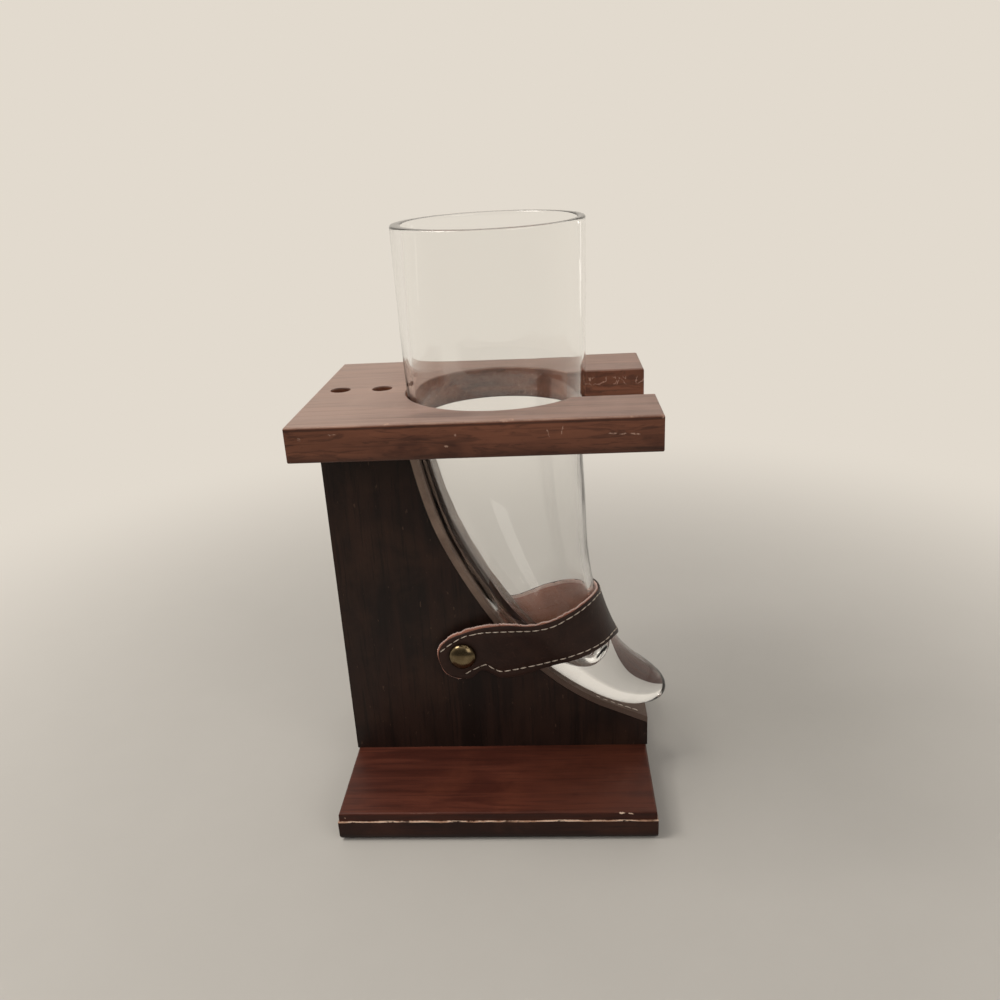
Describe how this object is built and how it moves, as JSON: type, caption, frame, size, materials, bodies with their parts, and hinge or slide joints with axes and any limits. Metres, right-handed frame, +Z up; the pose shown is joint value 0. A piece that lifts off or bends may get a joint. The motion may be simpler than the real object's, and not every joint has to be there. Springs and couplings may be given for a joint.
{
  "type": "drinking horn with stand",
  "caption": "Curved glass drinking horn held upright by a wooden stand with a slotted ring plate, a leather cradle and a snap-fastened leather strap.",
  "frame": {"origin": "middle of the base board's underside, on the surface it stands on", "axes": "+Z up, +X towards the horn's tip, -Y towards the snap fastener on the front"},
  "size_m": [0.1575, 0.116, 0.2725],
  "materials": {
    "stained_wood": "dark red-brown stain, satin, worn at the edges",
    "dark_wood": "nearly black stain, satin",
    "cradle_leather": "plain red-brown leather strip",
    "glass": "clear, polished, plain",
    "screw_steel": "dull, dark",
    "strap_leather": "dark brown, smooth, stitched edges",
    "suede_lining": "raw pinkish suede",
    "aged_brass": "antique, worn bright on the dome"
  },
  "bodies": {
    "stand": {"base_board": "stained_wood", "upright_board": "dark_wood", "top_plate": "stained_wood", "cradle_leather": "cradle_leather", "plate_screw_left": "screw_steel", "plate_screw_right": "screw_steel", "base_screw_left": "screw_steel", "base_screw_right": "screw_steel", "strap_back_leather": "strap_leather", "strap_back_lining": "suede_lining", "back_nail": "aged_brass", "snap_stud": "aged_brass"},
    "horn": {"glass_horn": "glass"},
    "strap": {"strap_leather": "strap_leather", "strap_lining": "suede_lining", "snap_cap": "aged_brass", "snap_socket": "aged_brass"}
  },
  "joints": [
    {"name": "horn_lift", "type": "slide", "parent": "stand", "child": "horn", "axis": [0, 0, 1], "range_m": [0, 0.175]},
    {"name": "strap_open", "type": "hinge", "parent": "stand", "child": "strap", "pos_m": [0.03168, 0.0242, 0.08335], "axis": [-0.2504, 0, 0.9681], "range_deg": [0, 150], "deforming": ["strap_leather", "strap_lining"]}
  ]
}
